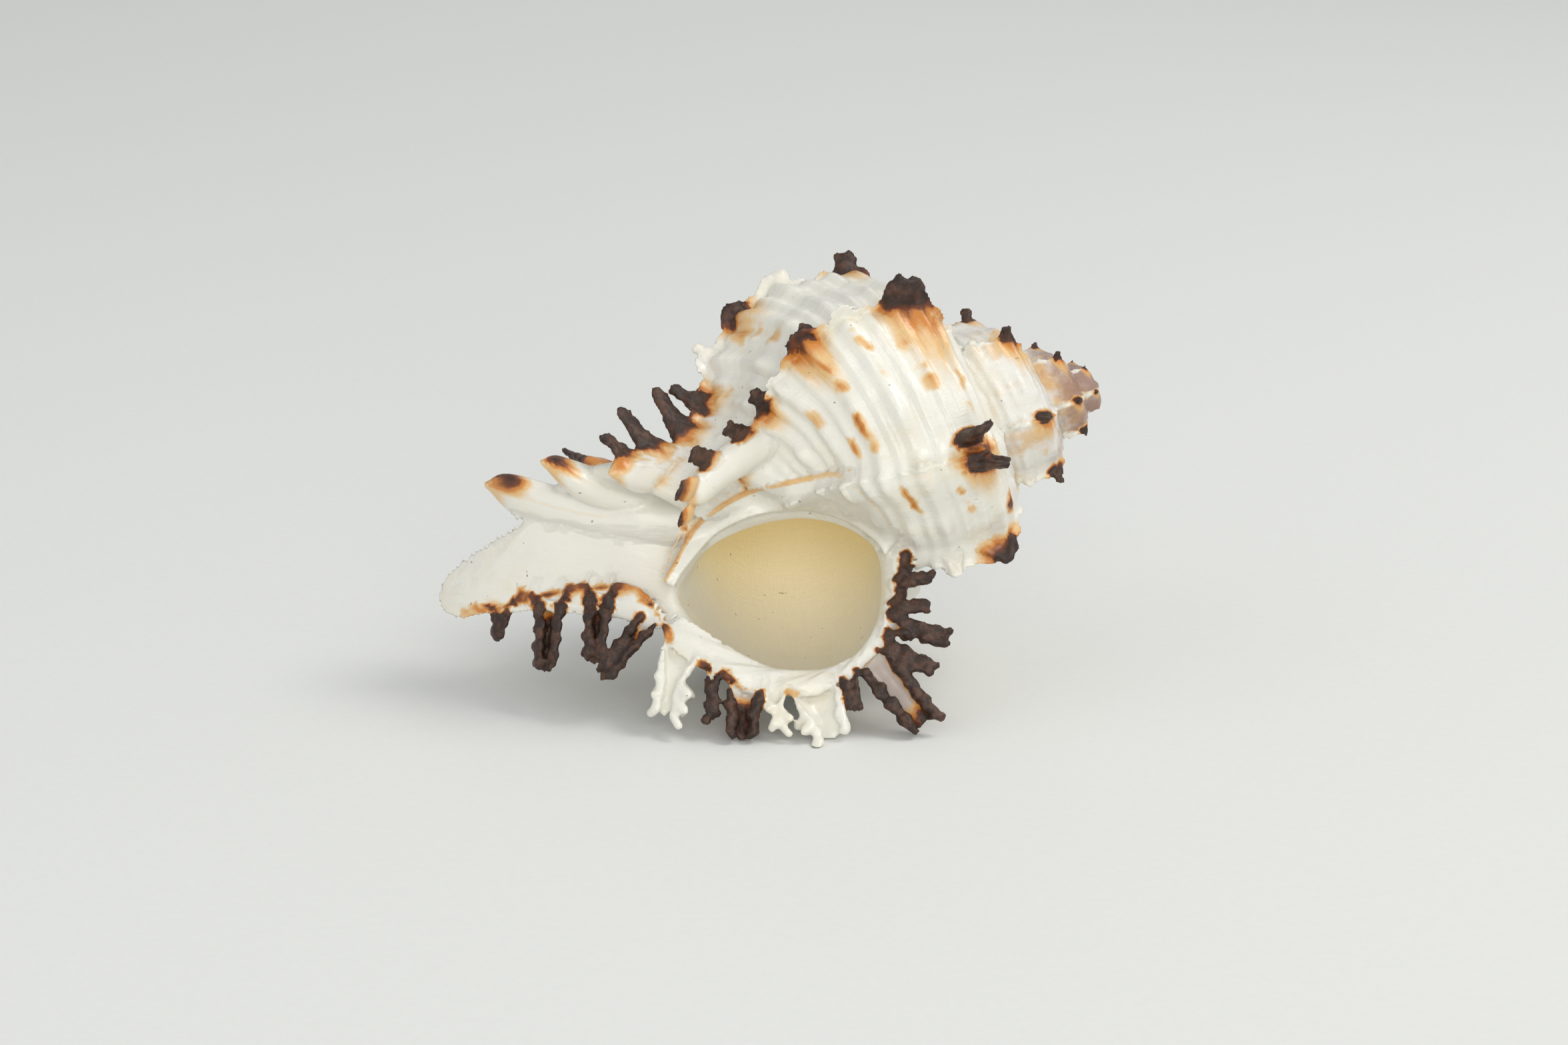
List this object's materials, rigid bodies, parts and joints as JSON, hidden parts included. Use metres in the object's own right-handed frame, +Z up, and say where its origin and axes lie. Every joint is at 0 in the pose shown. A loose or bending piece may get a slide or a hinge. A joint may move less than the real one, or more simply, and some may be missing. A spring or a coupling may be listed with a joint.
{
  "type": "murex shell",
  "caption": "Right-handed murex shell with a ridged whorl, rows of short leafy fronds, a wide mouth and a bent-back canal.",
  "frame": {"origin": "middle of the shell's bounding box, on the surface it rests on", "axes": "+X towards the spire, -Y the side that shows the mouth, +Z up as the shell rests on its fronds"},
  "size_m": [0.0859, 0.0559, 0.0586],
  "materials": {
    "shell": "glossy cream shell with dark brown fronds"
  },
  "bodies": {
    "root": {"shell": "shell"}
  },
  "joints": []
}
